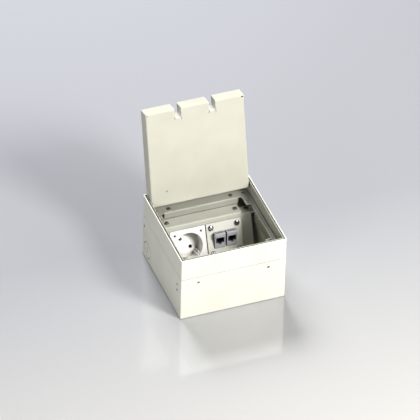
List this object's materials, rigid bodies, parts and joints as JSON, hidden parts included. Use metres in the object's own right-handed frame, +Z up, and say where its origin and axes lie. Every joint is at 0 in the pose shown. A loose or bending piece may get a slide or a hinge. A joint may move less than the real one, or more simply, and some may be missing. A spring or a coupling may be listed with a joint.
{
  "type": "floor socket box",
  "caption": "Square in-floor box with a hinged tray lid, a raised adjustable frame and a sloping carrier with an earthed power socket and data jacks.",
  "frame": {"origin": "centre of the lower box's footprint, on its floor face", "axes": "+X to the right along the front wall, +Y to the hinge side, +Z up"},
  "size_m": [0.15, 0.1781, 0.2272],
  "materials": {
    "painted_sheet": "satin",
    "painted_lid": "satin",
    "zinc_steel": "satin",
    "bright_steel": "polished",
    "white_moulding": "gloss",
    "grey_moulding": "matte",
    "light_moulding": "matte",
    "soft_seal": "matte",
    "contact_brass": "satin",
    "label_blank": "matte"
  },
  "bodies": {
    "base": {"base_box": "painted_sheet", "wall_rivets": "zinc_steel", "front_bracket_left": "painted_sheet", "front_bracket_right": "painted_sheet", "rear_bracket_left": "painted_sheet", "rear_bracket_right": "painted_sheet", "support_bracket": "painted_sheet", "module_carrier": "painted_sheet", "carrier_spacers": "zinc_steel", "carrier_screws": "zinc_steel", "bracket_screws": "zinc_steel", "levelling_nuts": "zinc_steel", "earth_stud": "zinc_steel", "earth_nut": "zinc_steel", "socket_front": "white_moulding", "socket_body": "light_moulding", "earth_spring": "bright_steel", "contact_live": "contact_brass", "contact_neutral": "contact_brass", "terminal_screws": "zinc_steel", "data_plate": "painted_sheet", "data_plate_screws": "bright_steel", "jack_left": "grey_moulding", "jack_right": "grey_moulding", "jack_contacts_left": "contact_brass", "jack_contacts_right": "contact_brass", "jack_label_left": "label_blank", "jack_label_right": "label_blank", "jack_rear_left": "light_moulding", "jack_rear_right": "light_moulding"},
    "frame": {"frame_band": "painted_sheet", "frame_inner": "painted_sheet", "ledge_plate": "painted_sheet", "lid_gasket": "soft_seal", "hinge_pin_left": "zinc_steel", "hinge_pin_right": "zinc_steel", "levelling_screws": "zinc_steel", "levelling_clips": "zinc_steel"},
    "lid": {"lid_tray": "painted_lid"}
  },
  "joints": [
    {"name": "frame_lift", "type": "slide", "parent": "base", "child": "frame", "axis": [0, 0, 1], "range_m": [0, 0.008]},
    {"name": "lid_hinge", "type": "hinge", "parent": "frame", "child": "lid", "pos_m": [0, 0.065, 0.0935], "axis": [1, 0, 0], "range_deg": [0, 103.6]}
  ]
}
